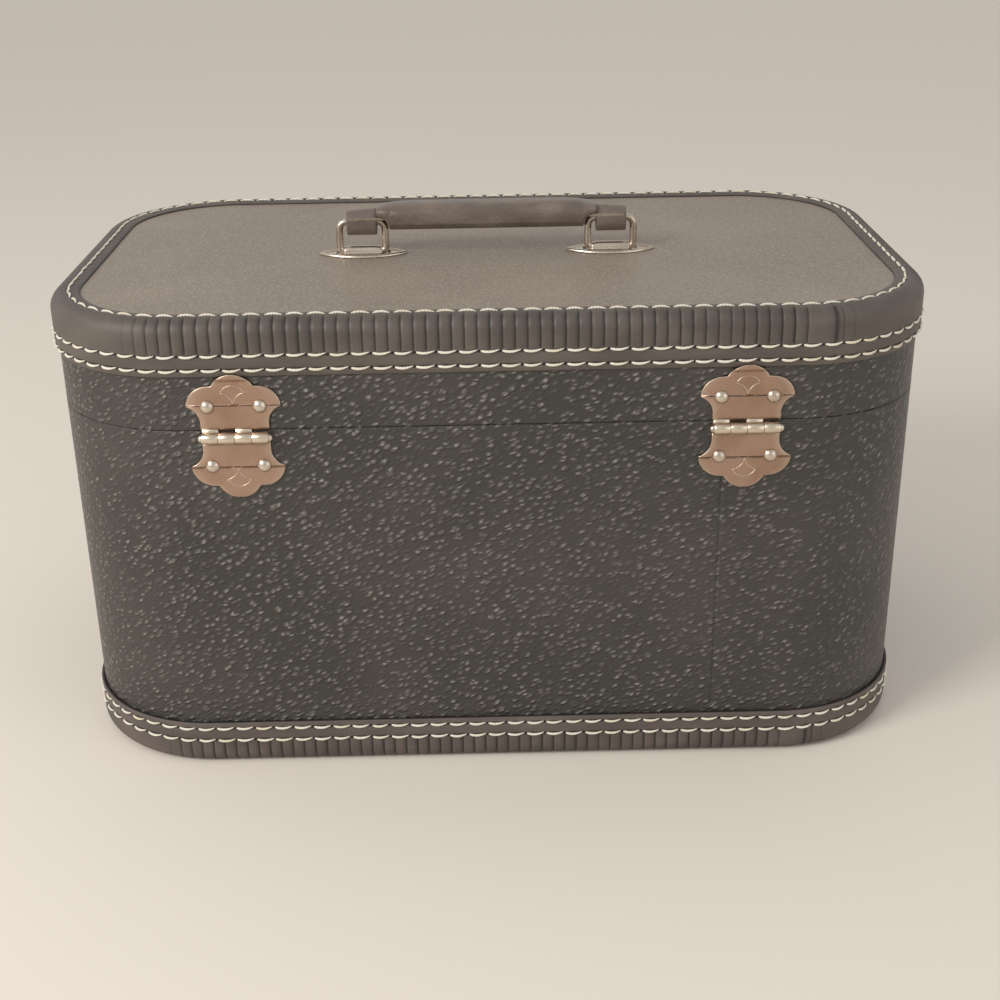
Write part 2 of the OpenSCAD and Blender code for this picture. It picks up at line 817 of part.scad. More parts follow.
// Strike plate on the lid with a pressed hood and the notched tongue
module latch_strike(side) {
    hood_half = tongue_w / 2 + 2.5;
    hood_h = 7;
    notch = bolt_travel;
    color(steel) at_latch(side) difference() {
        union() {
            latch_sheet(strike_w, plate_gap, plate_gap + strike_h);
            latch_block(-hood_half, hood_half, -lock_t / 2, tongue_in + tongue_t + 1,
                plate_gap, plate_gap + hood_h);
            latch_block(-tongue_w / 2, tongue_w / 2, tongue_in, tongue_in + tongue_t,
                -tongue_down, plate_gap + 1);
        }
        latch_block(-tongue_w / 2 - 1, -tongue_w / 2 + notch, 0, housing_d,
            bolt_z - bolt_h / 2 - gap, bolt_z + bolt_h / 2 + gap);
        for (x = [-1, 1])
            translate([x * strike_rivet_x, 0, strike_rivet_z])
                rotate([90, 0, 0]) cylinder(r = shank_r, h = 4, center = true);
    }
}

module latch_rivets_base() {
    color(steel) at_latch_rivets(false) rivet(lock_t, latch_rivet_r, latch_rivet_h);
}

module latch_rivets_lid() {
    color(steel) at_latch_rivets(true) rivet(lock_t, latch_rivet_r, latch_rivet_h);
}

base_wall();
bottom_panel();
base_cover();
bottom_cover();
base_binding();
base_stitching();
base_lining();
collar();
lid_wall();
top_panel();
lid_cover();
top_cover();
lid_binding();
lid_stitching();
lid_lining();
hinge_upper_leaf(-1);  // hinge_upper_leaf_left
hinge_upper_leaf(1);  // hinge_upper_leaf_right
hinge_lower_leaf(-1);  // hinge_lower_leaf_left
hinge_lower_leaf(1);  // hinge_lower_leaf_right
hinge_pin(-1);  // hinge_pin_left
hinge_pin(1);  // hinge_pin_right
hinge_rivets_lid();
hinge_rivets_base();
handle_plate(-1);  // handle_plate_left
handle_plate(1);  // handle_plate_right
handle_backing_plates();
bail(-1);  // bail_left
bail(1);  // bail_right
handle_core();
handle_tabs();
handle_grip();
latch_housing(-1);  // latch_housing_left
latch_housing(1);  // latch_housing_right
latch_slide(-1);  // latch_slide_left
latch_slide(1);  // latch_slide_right
latch_strike(-1);  // latch_strike_left
latch_strike(1);  // latch_strike_right
latch_rivets_base();
latch_rivets_lid();
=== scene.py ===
import math

import bmesh
import bpy
import numpy as np
from mathutils import Matrix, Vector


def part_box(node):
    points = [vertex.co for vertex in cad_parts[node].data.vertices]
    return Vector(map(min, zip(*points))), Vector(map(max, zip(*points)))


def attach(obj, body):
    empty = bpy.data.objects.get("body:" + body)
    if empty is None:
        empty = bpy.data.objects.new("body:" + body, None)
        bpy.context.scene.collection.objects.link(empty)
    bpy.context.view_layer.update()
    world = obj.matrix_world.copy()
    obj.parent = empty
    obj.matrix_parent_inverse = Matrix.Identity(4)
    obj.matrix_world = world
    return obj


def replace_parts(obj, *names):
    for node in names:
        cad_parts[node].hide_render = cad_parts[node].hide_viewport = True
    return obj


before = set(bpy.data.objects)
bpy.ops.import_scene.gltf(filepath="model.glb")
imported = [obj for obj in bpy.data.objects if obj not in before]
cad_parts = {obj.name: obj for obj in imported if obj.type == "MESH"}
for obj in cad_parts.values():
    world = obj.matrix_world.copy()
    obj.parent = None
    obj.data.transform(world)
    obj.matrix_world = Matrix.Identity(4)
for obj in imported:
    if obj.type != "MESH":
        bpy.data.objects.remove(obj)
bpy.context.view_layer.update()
MM = 0.001


def corners(node):
    """Lowest and highest corner of a node, in millimetres."""
    low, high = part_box(node)
    return np.array(low) / MM, np.array(high) / MM


# Camera. It stands where the photograph was taken from, behind the case and
# above it, as found from the case's own edges in the picture.
camera_at = (3.05, 677.1, 374.8)
camera_yaw = math.radians(0.6136)
camera_pitch = math.radians(23.864)
camera_roll = math.radians(0.9167)
camera_lens = 54.01
camera_sensor = 36

ahead = np.array([-math.sin(camera_yaw) * math.cos(camera_pitch),
                  -math.cos(camera_yaw) * math.cos(camera_pitch), -math.sin(camera_pitch)])
level = np.array([-math.cos(camera_yaw), math.sin(camera_yaw), 0])
below = np.cross(ahead, level)
across = math.cos(camera_roll) * level + math.sin(camera_roll) * below
down = math.cos(camera_roll) * below - math.sin(camera_roll) * level

lens = bpy.data.cameras.new("camera")
lens.lens = camera_lens
lens.sensor_fit = "HORIZONTAL"
lens.sensor_width = camera_sensor
lens.clip_start = 0.01
camera = bpy.data.objects.new("camera", lens)
turned = np.column_stack([across, -down, -ahead])
camera.matrix_world = Matrix.Translation(np.array(camera_at) * MM) @ Matrix(turned).to_4x4()
bpy.context.scene.collection.objects.link(camera)
bpy.context.scene.camera = camera


# Studio. Soft light from all round, a broad key lamp near the case at the upper
# left of the photograph and a weak one from its right, over a plain pale floor.
class Value:
    """A socket of a finish that carries a number. A sum on it adds the Math node that does it."""

    def __init__(self, finish, socket):
        self.finish = finish
        self.socket = socket

    def math(self, operation, *terms):
        return self.finish.node("Math", {"operation": operation}, dict(enumerate(terms)))

    def __add__(self, other):
        return self.math("ADD", self, other)

    def __sub__(self, other):
        return self.math("SUBTRACT", self, other)

    def __rsub__(self, other):
        return self.math("SUBTRACT", other, self)

    def __mul__(self, other):
        return self.math("MULTIPLY", self, other)

    def __truediv__(self, other):
        return self.math("DIVIDE", self, other)

    def __pow__(self, other):
        return self.math("POWER", self, other)

    __radd__ = __add__
    __rmul__ = __mul__

    def higher(self, other):
        return self.math("MAXIMUM", self, other)

    def alone(self, operation):
        """A function of this value only, such as its sine."""
        return self.math(operation, self)

    def between(self, start, end):
        """0 below start and 1 above end, with a smooth step from one to the other."""
        settings = {"interpolation_type": "SMOOTHSTEP"}
        return self.finish.node("MapRange", settings, {"Value": self, 1: start, 2: end})


class Finish:
    """A material in the making: its shader, and the nodes that vary it over a surface."""

    def __init__(self, name, **sockets):
        self.material = bpy.data.materials.new(name)
        self.material.use_nodes = True
        self.tree = self.material.node_tree
        self.shader = self.tree.nodes["Principled BSDF"]
        self.set(**sockets)

    def node(self, kind, settings, sockets, out=0):
        """Adds a node of one kind. Settings come first, then what its sockets hold or are fed by."""
        made = self.tree.nodes.new("ShaderNode" + kind)
        for key, value in settings.items():
            setattr(made, key, value)
        for key, value in sockets.items():
            self.feed(made.inputs[key], value)
        return Value(self, made.outputs[out])

    def feed(self, socket, value):
        if isinstance(value, Value):
            self.tree.links.new(value.socket, socket)
        elif socket.type == "RGBA":
            socket.default_value = (*value, 1)
        else:
            socket.default_value = value

    def set(self, **sockets):
        """Sets the shader's sockets, where an underscore stands for a space."""
        for key, value in sockets.items():
            self.feed(self.shader.inputs[key.replace("_", " ")], value)

    def place(self, kind, size=(1, 1, 1), turn=0):
        """Coordinates of the surface in millimetres, turned in degrees and divided by size."""
        at = self.node("TexCoord", {}, {}, kind)
        scale = [1 / (MM * s) for s in size]
        flat = self.node("Mapping", {"vector_type": "POINT"},
                         {"Vector": at, "Rotation": (0, 0, math.radians(turn))})
        return self.node("VectorMath", {"operation": "MULTIPLY"}, {0: flat, 1: scale})

    def strip(self):
        """The surface's own two coordinates in millimetres, along the piece and across it."""
        parts = self.node("SeparateXYZ", {}, {0: self.place("UV")}).socket.node
        return Value(self, parts.outputs[0]), Value(self, parts.outputs[1])

    def noise(self, place, scale=1.0, detail=3.0, roughness=0.5):
        return self.node("TexNoise", {}, {"Vector": place, "Scale": scale, "Detail": detail,
                                          "Roughness": roughness})

    def mix(self, share, first, second):
        return self.node("Mix", {"data_type": "RGBA"}, {0: share, 6: first, 7: second}, 2)

    def bump(self, height, depth):
        """Relief whose height runs from 0 to 1 over a depth in millimetres."""
        normal = self.node("Bump", {}, {"Height": height, "Distance": depth * MM})
        self.set(Normal=normal)


def volume(points, faces):
    """Six times the volume that the faces close, as the sum of a corner's dot product with the
    cross product of the next two, over all the triangles of a fan."""
    total = 0
    for group in faces:
        for k in range(1, group.shape[1] - 1):
            a, b, c = (points[group[:, i]] for i in (0, k, k + 1))
            total += np.einsum("ij,ij->", a, np.cross(b, c))
    return total


def new_piece(name, points, faces, finish, uv=None, shades=None, flat=False):
    """A mesh from points in millimetres and groups of faces, each group an array of corner numbers.
    The faces are turned so that the volume that they close counts positive, so they point
    outwards. uv holds the place of each corner on the surface, in the order of the faces."""
    points = np.asarray(points, float).reshape(-1, 3) * MM
    if volume(points, faces) < 0:
        faces = [group[:, ::-1] for group in faces]
        uv = None if uv is None else [place[:, ::-1] for place in uv]
    ends = np.concatenate([group.ravel() for group in faces]).astype(np.int32)
    totals = np.concatenate([np.full(len(group), group.shape[1]) for group in faces])
    mesh = bpy.data.meshes.new(name)
    mesh.vertices.add(len(points))
    mesh.vertices.foreach_set("co", points.ravel().astype(np.float32))
    mesh.loops.add(len(ends))
    mesh.loops.foreach_set("vertex_index", ends)
    mesh.polygons.add(len(totals))
    mesh.polygons.foreach_set("loop_start", (np.cumsum(totals) - totals).astype(np.int32))
    mesh.polygons.foreach_set("use_smooth", np.full(len(totals), not flat))
    if uv is not None:
        places = np.concatenate([place.reshape(-1, 2) for place in uv])
        mesh.uv_layers.new(name="UVMap").data.foreach_set("uv", places.ravel().astype(np.float32))
    for key, values in (shades or {}).items():
        stored = mesh.attributes.new(key, "FLOAT", "POINT")
        stored.data.foreach_set("value", np.asarray(values, np.float32).ravel())
    mesh.update(calc_edges=True)
    mesh.materials.append(finish.material)
    piece = bpy.data.objects.new(name, mesh)
    bpy.context.scene.collection.objects.link(piece)
    return piece


quad_corners = ((0, 0), (1, 0), (1, 1), (0, 1))


def grid_faces(rows, columns, join_rows=False, join_columns=False, start=0):
    """Corner numbers of a grid's quads, joined to itself at the ends of its rows or columns."""
    j = np.arange(rows if join_rows else rows - 1)[:, None]
    i = np.arange(columns if join_columns else columns - 1)[None, :]
    near, far = j * columns, (j + 1) % rows * columns
    quads = [near + i, near + (i + 1) % columns, far + (i + 1) % columns, far + i]
    return start + np.stack(np.broadcast_arrays(*quads), -1).reshape(-1, 4)


floor_reach, floor_t = 14000, 20
floor_finish = Finish("studio_floor", Base_Color=(0.83, 0.765, 0.685), Roughness=0.9)
floor_points = [[x * floor_reach, y * floor_reach, z] for z in (-floor_t, 0)
                for x, y in ((-1, -1), (1, -1), (1, 1), (-1, 1))]
floor_sides = np.array([[k, (k + 1) % 4, (k + 1) % 4 + 4, k + 4] for k in range(4)])
floor = new_piece("floor", floor_points,
                  [np.array([[3, 2, 1, 0], [4, 5, 6, 7]]), floor_sides], floor_finish, flat=True)

world = bpy.data.worlds.new("studio")
world.use_nodes = True
world.node_tree.nodes["Background"].inputs["Color"].default_value = (1.0, 0.985, 0.96, 1)
world.node_tree.nodes["Background"].inputs["Strength"].default_value = 0.62
bpy.context.scene.world = world
bpy.context.scene.view_settings.view_transform = "Standard"

lamp_list = (
    ("key_lamp", (1.00, 0.85, 0.95), 13.0, 0.55, (1.0, 0.97, 0.93)),
    ("fill_lamp", (-1.30, 1.10, 0.60), 3.0, 1.0, (1.0, 0.98, 0.96)),
)
for name, stand, power, size, colour in lamp_list:
    lamp = bpy.data.lights.new(name, "AREA")
    lamp.energy = power
    lamp.size = size
    lamp.color = colour
    lamp_object = bpy.data.objects.new(name, lamp)
    z = np.array(stand) / np.linalg.norm(stand)
    x = np.cross((0, 0, 1), z)
    x /= np.linalg.norm(x)
    facing = Matrix(np.column_stack([x, np.cross(z, x), z])).to_4x4()
    lamp_object.matrix_world = Matrix.Translation(stand) @ facing
    bpy.context.scene.collection.objects.link(lamp_object)


# Boards. The walls and the panels are grey-brown fibreboard, bent and riveted.
# They show only at the parting line when the lid is open.
def board_finish():
    finish = Finish("fibreboard", Roughness=0.85)
    place = finish.place("Object")
    fibres = finish.noise(place, 0.9, 5)
    layers = finish.noise(finish.place("Object", (40, 40, 0.6)), 1, 2)
    tone = finish.mix(fibres.between(0.35, 0.7), (0.20, 0.155, 0.11), (0.33, 0.27, 0.20))
    finish.set(Base_Color=finish.mix(layers * 0.5, tone, (0.12, 0.09, 0.065)))
    finish.bump(fibres, 0.2)
    return finish


def dress(finish, *nodes):
    """Gives nodes whose own shape stays their finish."""
    for node in nodes:
        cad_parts[node].data.materials.clear()
        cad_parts[node].data.materials.append(finish.material)


board_t = 4.5
dress(board_finish(), "base_wall", "bottom_panel", "lid_wall", "top_panel")


# Leathercloth cover of the walls. Dark grey vinyl cloth with an embossed grain,
# glued round the boards, with one seam behind the case below a hinge.
lid_low, lid_high = corners("lid_binding")
case_w, case_d = (lid_high - lid_low)[:2]
case_h = lid_high[2]
middle_y = (lid_low[1] + lid_high[1]) / 2
part_z = corners("lid_cover")[0][2]
corner_r = 60
binding_t = 1.6
cover_t = 0.8
seam_x = -94
cover_hem = 8
cover_step = 2.0
relief_depth, relief_fade = 0.16, 3
seam_cuts = np.array([-1.6, -0.5, -0.16, 0.16, 0.5, 1.6])
seam_clear = 2.2
groove_depth, groove_half = 0.5, 0.3
lap_rise, lap_fade, lap_reach = 0.12, 2, 4


def plan(distance, radius=corner_r):
    """Plan of the case as a path that starts in the middle of its front and runs round it
    counterclockwise. Each part of it is straight or an arc, so the centre of the rounding and the
    angle of the outward direction both change evenly along a part. Returns the two, and how far
    round a corner the point is from the nearer end of that corner."""
    half_x, half_y, arc = case_w / 2 - corner_r, case_d / 2 - corner_r, radius * math.pi / 2
    parts = [0, half_x, arc, 2 * half_y, arc, 2 * half_x, arc, 2 * half_y, arc, half_x]
    knots = np.cumsum(parts)
    at_x = np.interp(distance, knots, half_x * np.array([0, 1, 1, 1, 1, -1, -1, -1, -1, 0]))
    at_y = np.interp(distance, knots, half_y * np.array([-1, -1, -1, 1, 1, 1, 1, -1, -1, -1]))
    angle = np.interp(distance, knots, np.radians([-90, -90, 0, 0, 90, 90, 180, 180, 270, 270]))
    turned = angle % (math.pi / 2) * radius
    return at_x, at_y, angle, np.minimum(turned, arc - turned) * ((turned > 0) & (turned < arc))


def plan_length(radius=corner_r):
    return 2 * (case_w + case_d - 4 * corner_r) + 2 * math.pi * radius


def plan_points(distance, inset, height, radius=corner_r):
    """Points round the case at an inset from its outline and at a height."""
    at_x, at_y, angle, _ = plan(distance, radius)
    reach = corner_r - inset
    return np.stack(np.broadcast_arrays(at_x + np.cos(angle) * reach,
                                        middle_y + at_y + np.sin(angle) * reach, height), -1)


def band(name, distance, inset, height, across, finish, shades=None):
    """Closed band round the case. inset and height have a row for each point of its section and a
    column for each distance, and across is how far along the section each row lies."""
    rows, columns = inset.shape
    u = np.append(distance, plan_length()) * MM
    v = np.append(across, across[-1] + 1) * MM
    j, i = np.meshgrid(np.arange(rows), np.arange(columns), indexing="ij")
    uv = np.stack([np.stack([u[i + p], v[j + q]], -1) for p, q in quad_corners], 2)
    return new_piece(name, plan_points(distance, inset, height),
                     [grid_faces(rows, columns, True, True)], finish,
                     [uv.reshape(-1, 4, 2)], shades)


def cloth_finish(name, kind, dark, light, glint, size, turn, depth, roughness):
    """Grained vinyl cloth. Its grain is cells of uneven size, pulled out and bent by a slow noise,
    with a finer wrinkle over them. Its hollows carry painted shade, its crests painted light, and
    the crests of some cells a painted glint."""
    finish = Finish(name, Specular_IOR_Level=0.5)
    place = finish.place(kind, size, turn)
    bend = finish.noise(place, 0.45, 2)
    bent = finish.node("VectorMath", {"operation": "ADD"}, {0: place, 1: bend})
    cells = finish.node("TexVoronoi", {"feature": "SMOOTH_F1"},
                        {"Vector": bent, "Scale": 1.0, "Smoothness": 0.15, "Randomness": 1.0})
    wrinkles = finish.noise(bent, 2.1, 3, 0.65)
    crest = cells.between(0.62, 0.08)
    height = crest * 0.65 + wrinkles * 0.5
    clouds = finish.noise(finish.place(kind, (60, 60, 60)), 1, 3)
    # Painted glint: the crests of some cells take the glint colour.
    painted_highlight = cells.between(0.34, 0.10) * wrinkles.between(0.44, 0.62)
    # Painted shade in the hollows of the grain and painted light on its crests.
    tone = finish.mix(height.between(0.30, 0.95), dark, light)
    tone = finish.mix(painted_highlight, tone, glint)
    dusty = finish.mix(clouds.between(0.35, 0.75) * 0.25, tone, [c * 1.3 for c in light])
    finish.set(Base_Color=dusty, Roughness=roughness + 0.12 * clouds - 0.12 * crest)
    finish.bump(height, depth)
    return finish


wall_cloth = cloth_finish("wall_leathercloth", "UV", (0.038, 0.034, 0.029), (0.085, 0.077, 0.067),
                          (0.27, 0.25, 0.22), (4.2, 2.1, 1), -25, 0.9, 0.36)
seam_s = plan_length() / 2 - seam_x
waves = np.random.default_rng(5)
wave_count = 26
wave_length = waves.uniform(5, 11, wave_count)
wave_way = waves.normal(math.radians(115), 0.5, wave_count)
wave_start = waves.uniform(0, 2 * math.pi, wave_count)


def cover_relief(distance, height):
    """Slow unevenness of the cloth: many low waves that run mostly up to the right, added up."""
    total = 0
    for length, way, start in zip(wave_length, wave_way, wave_start):
        along = distance * math.cos(way) + height * math.sin(way)
        total = total + np.sin(2 * math.pi / length * along + start)
    return total / wave_count


def wall_cover(name, body, z_free, z_hidden, seam):
    """Cover between the parting line and the binding. Its free edge is rounded over the board."""
    away = np.sign(z_hidden - z_free)
    reach = abs(z_hidden - z_free)
    edge = np.array([0, 0.12, 0.35, 0.8, 1.6])
    sunk = np.array([0.62, 0.30, 0.10, 0.0, 0.0])
    run = np.concatenate([edge, np.arange(edge[-1] + cover_step, reach, cover_step), [reach]])
    distance = np.arange(0, plan_length(), cover_step)
    if seam:
        kept = distance[abs(distance - seam_s) > seam_clear]
        distance = np.sort(np.concatenate([kept, seam_s + seam_cuts]))
    rough = 0.5 + 0.5 * cover_relief(distance[None, :], run[:, None])
    fade = np.clip(run / relief_fade, 0, 1)[:, None] * relief_depth
    inset = binding_t + np.interp(run, edge, sunk)[:, None] + rough * fade
    if seam:
        off = distance - seam_s
        groove = groove_depth * np.exp(-(off / groove_half) ** 2)
        lap = lap_rise * np.exp(-np.clip(-off, 0, None) / lap_fade) * (off < 0)
        inset = inset + (groove - lap + lap_rise * np.exp(-abs(off) / lap_reach))[None, :]
    back = np.full((2, len(distance)), binding_t + cover_t)
    heights = z_free + away * np.concatenate([run, [run[-1], 0]])
    piece = band(name, distance, np.concatenate([inset, back]),
                 np.repeat(heights[:, None], len(distance), 1), heights, wall_cloth)
    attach(piece, body)
    return piece


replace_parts(wall_cover("base_wall_cover", "base", part_z, cover_hem, True), "base_cover")
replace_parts(wall_cover("lid_wall_cover", "lid", part_z, case_h - cover_hem, False), "lid_cover")


# Cover of the lid's top and of the underside. The same cloth, flat on the
# panels. The top's colours are painted paler than the walls', a painted sheen where it catches the light.
top_cloth_painted_sheen = cloth_finish("top_leathercloth_painted_sheen", "Object", (0.235, 0.190, 0.150), (0.330, 0.272, 0.218),
                         (0.40, 0.335, 0.275), (1.7, 1.2, 1.2), 20, 0.25, 0.42)
under_cloth = cloth_finish("underside_leathercloth", "Object", (0.038, 0.034, 0.029),
                           (0.080, 0.072, 0.063), (0.16, 0.145, 0.125), (2.6, 1.7, 1.7), 20, 0.5, 0.45)
dress(top_cloth_painted_sheen, "top_cover")
dress(under_cloth, "bottom_cover")


# Bindings. One moulded vinyl strip each round the lid and the base: a thin lip,
# a smooth band between two rows of stitches, a fluted bend and a flange.
flange_w = 12.6
edge_r = 6.5
lip_h = 2.4
row_gap = 5.9
flange_row = 4.6
rib_count = 216
ridge_count = 17
rib_pitch = plan_length() / rib_count
stitch_count = 127
stitch_pitch = plan_length() / stitch_count
flute_at = np.array([0, 0.10, 0.34, 0.66, 0.90])
flute_depth = np.array([0.62, 0.04, 0.05, 0.12, 0.22])
flute_uneven, flute_in_corner = 0.12, 0.06
ridge_depth = 0.13
row_depth, row_half = 0.38, 0.5
splice_at = plan_length() / 2 + 131
splice_half, crease_off, crease_half, crease_depth = 5.5, 6, 0.9, 0.5
hole_near, hole_far = 0.35, 0.75


def binding_finish(name, rows, base, light, groove_tone):
    """Vinyl darker in its grooves and on its inner side, lighter in specks on its high parts from wear
    and painted highlight, and with a dark needle hole at each stitch's end.
    rows are the distances of the stitch rows from the lip, along the section."""
    finish = Finish(name, Specular_IOR_Level=0.45)
    relief = finish.node("Attribute", {"attribute_name": "relief"}, {}, "Fac")
    along, up = finish.strip()
    clouds = finish.noise(finish.place("UV", (30, 12, 1)), 1, 4)
    specks = finish.noise(finish.place("UV"), 2.2, 3)
    off = ((along / stitch_pitch + 0.5).alone("FRACT") - 0.5) * stitch_pitch
    hole = None
    for row in rows:
        far = ((off * off + (up - row) * (up - row)) ** 0.5).between(hole_far, hole_near)
        hole = far if hole is None else hole.higher(far)
    tone = finish.mix(clouds.between(0.3, 0.75), base, light)
    # Darker in the grooves and on the inner side, where the relief is deep.
    tone = finish.mix(relief.between(0.10, 0.5) * 0.85, tone, groove_tone)
    # Lighter specks where the relief is low: wear, and painted highlight on the rib shoulders and edges.
    worn_and_highlit = relief.between(0.06, 0.0) * specks.between(0.52, 0.70) * 0.35
    tone = finish.mix(worn_and_highlit, tone, [c * 1.7 + 0.03 for c in light])
    finish.set(Base_Color=finish.mix(hole, tone, (0.004, 0.0035, 0.003)),
               Roughness=0.46 + 0.12 * clouds)
    finish.bump(specks * 0.25 - hole, 0.25)
    return finish


def binding(name, node, body, band_h, row, thin, upside, colours):
    """Section: lip, wall, a quarter bend and flange, sampled where it has detail, and sunk along its
    own normal by grooves, flutes and ridges. The flutes fade where the strip turns a corner."""
    turn = np.linspace(0, math.pi / 2, 25)
    line = np.concatenate([[[thin, band_h], [0, band_h - lip_h]],
                           np.column_stack([edge_r * (1 - np.cos(turn)), edge_r * (1 - np.sin(turn))]),
                           [[flange_w, thin]]])
    travel = np.concatenate([[0], np.cumsum(np.hypot(*np.diff(line, axis=0).T))])
    lip = travel[1]
    row_1 = lip + row - lip_h
    row_2 = row_1 + row_gap
    row_3 = travel[-2] + flange_w - flange_row - edge_r
    near = np.array([-0.8, -0.4, 0, 0.4, 0.8])
    rib_start, rib_end = row_2 + 1.0, row_3 - 1.1
    ridges = np.linspace(rib_start, rib_end, 2 * ridge_count + 1)
    along = np.concatenate([
        [0, 0.2, 0.6, 1.4, lip - 0.2], row_1 + near, np.linspace(row_1 + 1.3, row_2 - 1.3, 4),
        row_2 + near, ridges, row_3 + near, np.linspace(row_3 + 1.6, travel[-1] - 0.3, 3),
        [travel[-1]]])
    inset = np.interp(along, travel, line[:, 0])
    height = np.interp(along, travel, line[:, 1])
    slope = np.arctan2(np.gradient(np.interp(along, travel, line[:, 0]), along),
                       -np.gradient(np.interp(along, travel, line[:, 1]), along))

    distance = ((np.arange(rib_count)[:, None] + flute_at) * rib_pitch).ravel()
    turned = plan(distance)[3]
    fade = 1 - (1 - flute_in_corner) * np.clip((turned - 6) / 20, 0, 1)
    uneven = np.random.default_rng(len(name)).normal(1, flute_uneven, rib_count)
    flute = (uneven[:, None] * flute_depth).ravel()
    splice = np.exp(-((distance - splice_at) / splice_half) ** 4)
    crease = crease_depth * np.exp(-((distance - splice_at - crease_off) / crease_half) ** 2)
    flute = flute * fade * (1 - 0.9 * splice)

    smooth = np.interp(along, [row_1, (row_1 + row_2) / 2, row_2], [0.22, 0, 0.22])
    smooth = smooth * (along > row_1) * (along < row_2)
    grooves = sum(row_depth * np.exp(-((along - r) / row_half) ** 2) for r in (row_1, row_2, row_3))
    rounded = np.interp(along, [0, 0.2, 0.6, travel[-1] - 0.3, travel[-1]], [0.4, 0.1, 0, 0, 0.35])
    in_ribs = np.interp(along, [rib_start - 0.6, rib_start, rib_end - 3.5, rib_end], [0, 1, 1, 0.25])
    ridge = np.zeros(len(along))
    first = np.flatnonzero(along == ridges[0])[0]
    ridge[first:first + len(ridges)] = ridge_depth * (1 - np.arange(len(ridges)) % 2)
    relief = (smooth + grooves + rounded + ridge * in_ribs)[:, None]
    relief = relief + in_ribs[:, None] * flute + crease * np.clip(in_ribs, 0.3, 1)[:, None]

    full_inset = inset[:, None] + relief * np.cos(slope)[:, None]
    full_height = height[:, None] + relief * np.sin(slope)[:, None]
    inner_turn = np.linspace(math.pi / 2, 0, 5)
    inner_r = edge_r - binding_t
    inner = np.concatenate([[[flange_w, binding_t]],
                            np.column_stack([edge_r - inner_r * np.cos(inner_turn),
                                             edge_r - inner_r * np.sin(inner_turn)]),
                            [[binding_t, band_h]]])
    columns = len(distance)
    full_inset = np.concatenate([full_inset, np.repeat(inner[:, :1], columns, 1)])
    full_height = np.concatenate([full_height, np.repeat(inner[:, 1:], columns, 1)])
    relief = np.concatenate([relief, np.full((len(inner), columns), 0.5)])
    across = np.concatenate([along, along[-1] + np.arange(1, len(inner) + 1)])
    if upside:
        full_height = case_h - full_height
    finish = binding_finish(name + "_vinyl", (row_1, row_2, row_3), *colours)
    piece = band(name, distance, full_inset, full_height, across, finish, {"relief": relief})
    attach(piece, body)
    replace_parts(piece, node)


lid_band, lid_row, lid_thin = case_h - lid_low[2], 3.1, 0.8
base_band, base_row, base_thin = corners("base_binding")[1][2], 2.8, 0.0
groove_tone = (0.018, 0.015, 0.013)
binding("lid_edge_binding", "lid_binding", "lid", lid_band, lid_row, lid_thin, True,
        ((0.085, 0.070, 0.060), (0.125, 0.105, 0.090), groove_tone))
binding("base_edge_binding", "base_binding", "base", base_band, base_row, base_thin, False,
        ((0.090, 0.072, 0.064), (0.135, 0.108, 0.096), groove_tone))


# Stitching. Waxed cream thread in three rows round each binding. Each stitch
# sags from its needle hole and rises, thinner, into the next one.
def thread_finish():
    finish = Finish("sewing_thread", Roughness=0.62, Sheen_Weight=0.2)
    shade = finish.node("Attribute", {"attribute_name": "shade"}, {}, "Fac")
    along, around = finish.strip()
    twist = (along * 5.2 + around).alone("SINE")
    tone = finish.mix(shade, (0.86, 0.82, 0.72), (0.74, 0.66, 0.46))
    # The valleys of the twist are painted darker, a painted shade between the plies.
    finish.set(Base_Color=finish.mix(twist.between(-0.2, -1.0) * 0.35, tone, (0.40, 0.34, 0.24)))
    finish.bump(twist * 0.5, 0.12)
    return finish


thread = thread_finish()
thread_r = 0.56
stitch_start, stitch_share = 0.075, 0.85
stitch_sag, stitch_drift = 0.42, 0.45
stitch_sunk, stitch_rise = 0.55, 0.78


